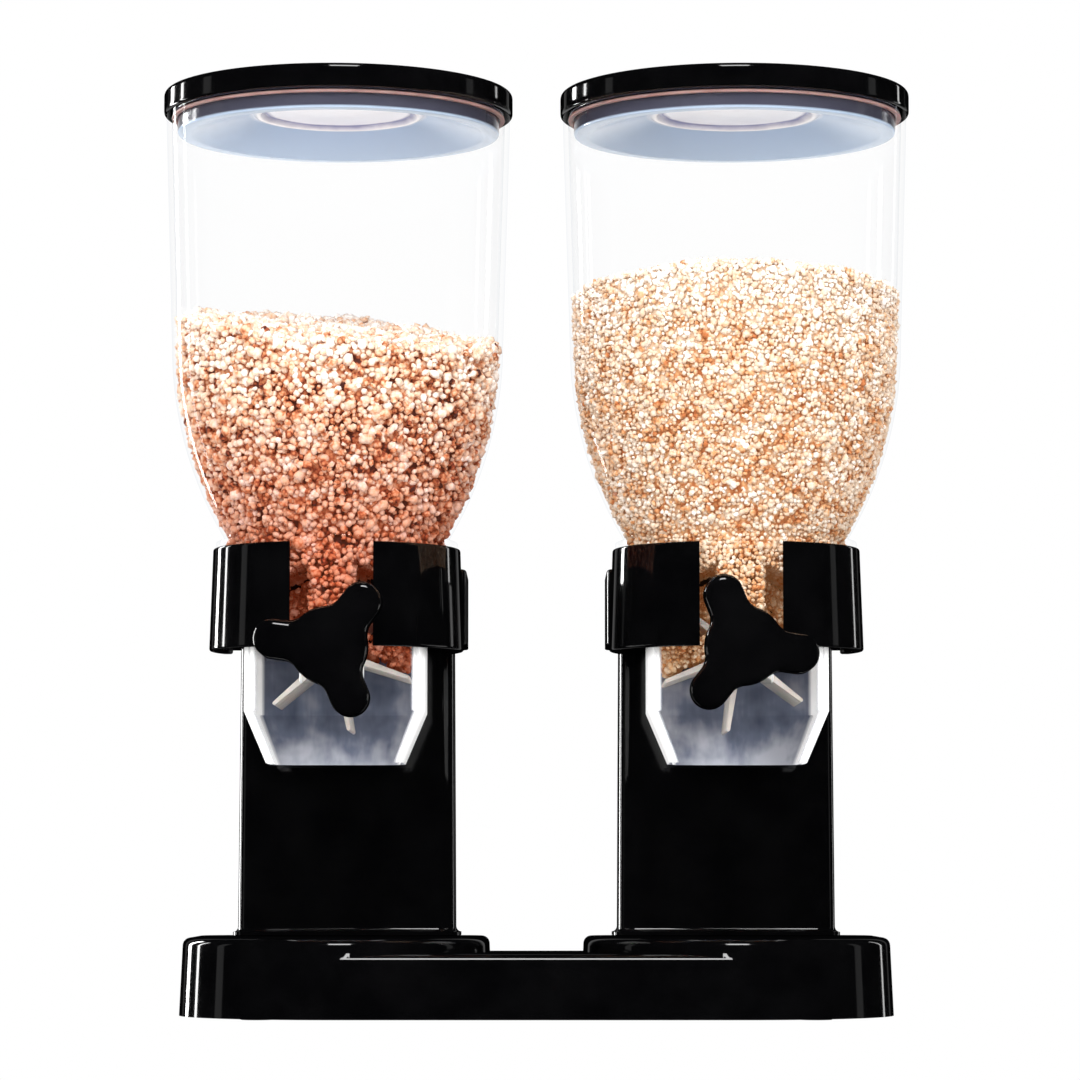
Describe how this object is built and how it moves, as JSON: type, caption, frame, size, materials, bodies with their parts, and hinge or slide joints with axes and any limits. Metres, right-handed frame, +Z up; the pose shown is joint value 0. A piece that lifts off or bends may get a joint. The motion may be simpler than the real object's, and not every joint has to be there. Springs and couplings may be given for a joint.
{
  "type": "cereal dispenser",
  "caption": "Countertop twin dry-food dispenser: clear lidded hoppers in black cradles on a shared stand, each emptied by a knob-turned paddle wheel.",
  "frame": {"origin": "on the table under the middle of the whole object", "axes": "+Z up, -Y towards the user who turns the knobs, +X to the right as seen from the front"},
  "size_m": [0.3176, 0.158, 0.3917],
  "materials": {
    "gloss_black_plastic": "high gloss black moulding",
    "satin_black_plastic": "satin black moulding",
    "clear_plastic": "clear polished moulding",
    "smoke_blue_plastic": "smoky blue-grey glossy moulding",
    "white_silicone": "flexible translucent white silicone",
    "blush_silicone": "soft pale pink silicone seal",
    "foot_rubber": "matte black rubber",
    "steel": "bright zinc-plated steel"
  },
  "bodies": {
    "stand": {"base_plate": "satin_black_plastic", "base_screw_1": "steel", "base_screw_2": "steel", "base_screw_3": "steel", "base_screw_4": "steel", "base_screw_5": "steel", "base_screw_6": "steel", "base_shell": "gloss_black_plastic", "foot_1": "foot_rubber", "foot_2": "foot_rubber", "foot_3": "foot_rubber", "foot_4": "foot_rubber", "foot_5": "foot_rubber", "foot_6": "foot_rubber", "left_cradle": "gloss_black_plastic", "left_cradle_screw_1": "steel", "left_cradle_screw_2": "steel", "left_post": "gloss_black_plastic", "left_post_cover": "satin_black_plastic", "left_post_cover_screw_1": "steel", "left_post_cover_screw_2": "steel", "left_post_foot_screw_1": "steel", "left_post_foot_screw_2": "steel", "right_cradle": "gloss_black_plastic", "right_cradle_screw_1": "steel", "right_cradle_screw_2": "steel", "right_post": "gloss_black_plastic", "right_post_cover": "satin_black_plastic", "right_post_cover_screw_1": "steel", "right_post_cover_screw_2": "steel", "right_post_foot_screw_1": "steel", "right_post_foot_screw_2": "steel"},
    "left_hopper": {"left_canister": "clear_plastic", "left_front_bush": "satin_black_plastic", "left_rear_bush": "satin_black_plastic"},
    "left_drive": {"left_drive_shaft": "steel", "left_paddle_wheel": "white_silicone", "left_knob": "gloss_black_plastic", "left_shaft_clip": "steel"},
    "left_cap": {"left_lid": "gloss_black_plastic", "left_lid_liner": "smoke_blue_plastic", "left_lid_seal": "blush_silicone"},
    "right_hopper": {"right_canister": "clear_plastic", "right_front_bush": "satin_black_plastic", "right_rear_bush": "satin_black_plastic"},
    "right_drive": {"right_drive_shaft": "steel", "right_paddle_wheel": "white_silicone", "right_knob": "gloss_black_plastic", "right_shaft_clip": "steel"},
    "right_cap": {"right_lid": "gloss_black_plastic", "right_lid_liner": "smoke_blue_plastic", "right_lid_seal": "blush_silicone"}
  },
  "joints": [
    {"name": "left_hopper_lift", "type": "slide", "parent": "stand", "child": "left_hopper", "axis": [0, 0, 1], "range_m": [0, 0.1]},
    {"name": "left_drive_turn", "type": "hinge", "parent": "left_hopper", "child": "left_drive", "pos_m": [-0.0845, 0, 0.152], "axis": [0, -1, 0], "continuous": true},
    {"name": "left_lid_lift", "type": "slide", "parent": "left_hopper", "child": "left_cap", "axis": [0, 0, 1], "range_m": [0, 0.06]},
    {"name": "right_hopper_lift", "type": "slide", "parent": "stand", "child": "right_hopper", "axis": [0, 0, 1], "range_m": [0, 0.1]},
    {"name": "right_drive_turn", "type": "hinge", "parent": "right_hopper", "child": "right_drive", "pos_m": [0.0845, 0, 0.152], "axis": [0, -1, 0], "continuous": true},
    {"name": "right_lid_lift", "type": "slide", "parent": "right_hopper", "child": "right_cap", "axis": [0, 0, 1], "range_m": [0, 0.06]}
  ]
}
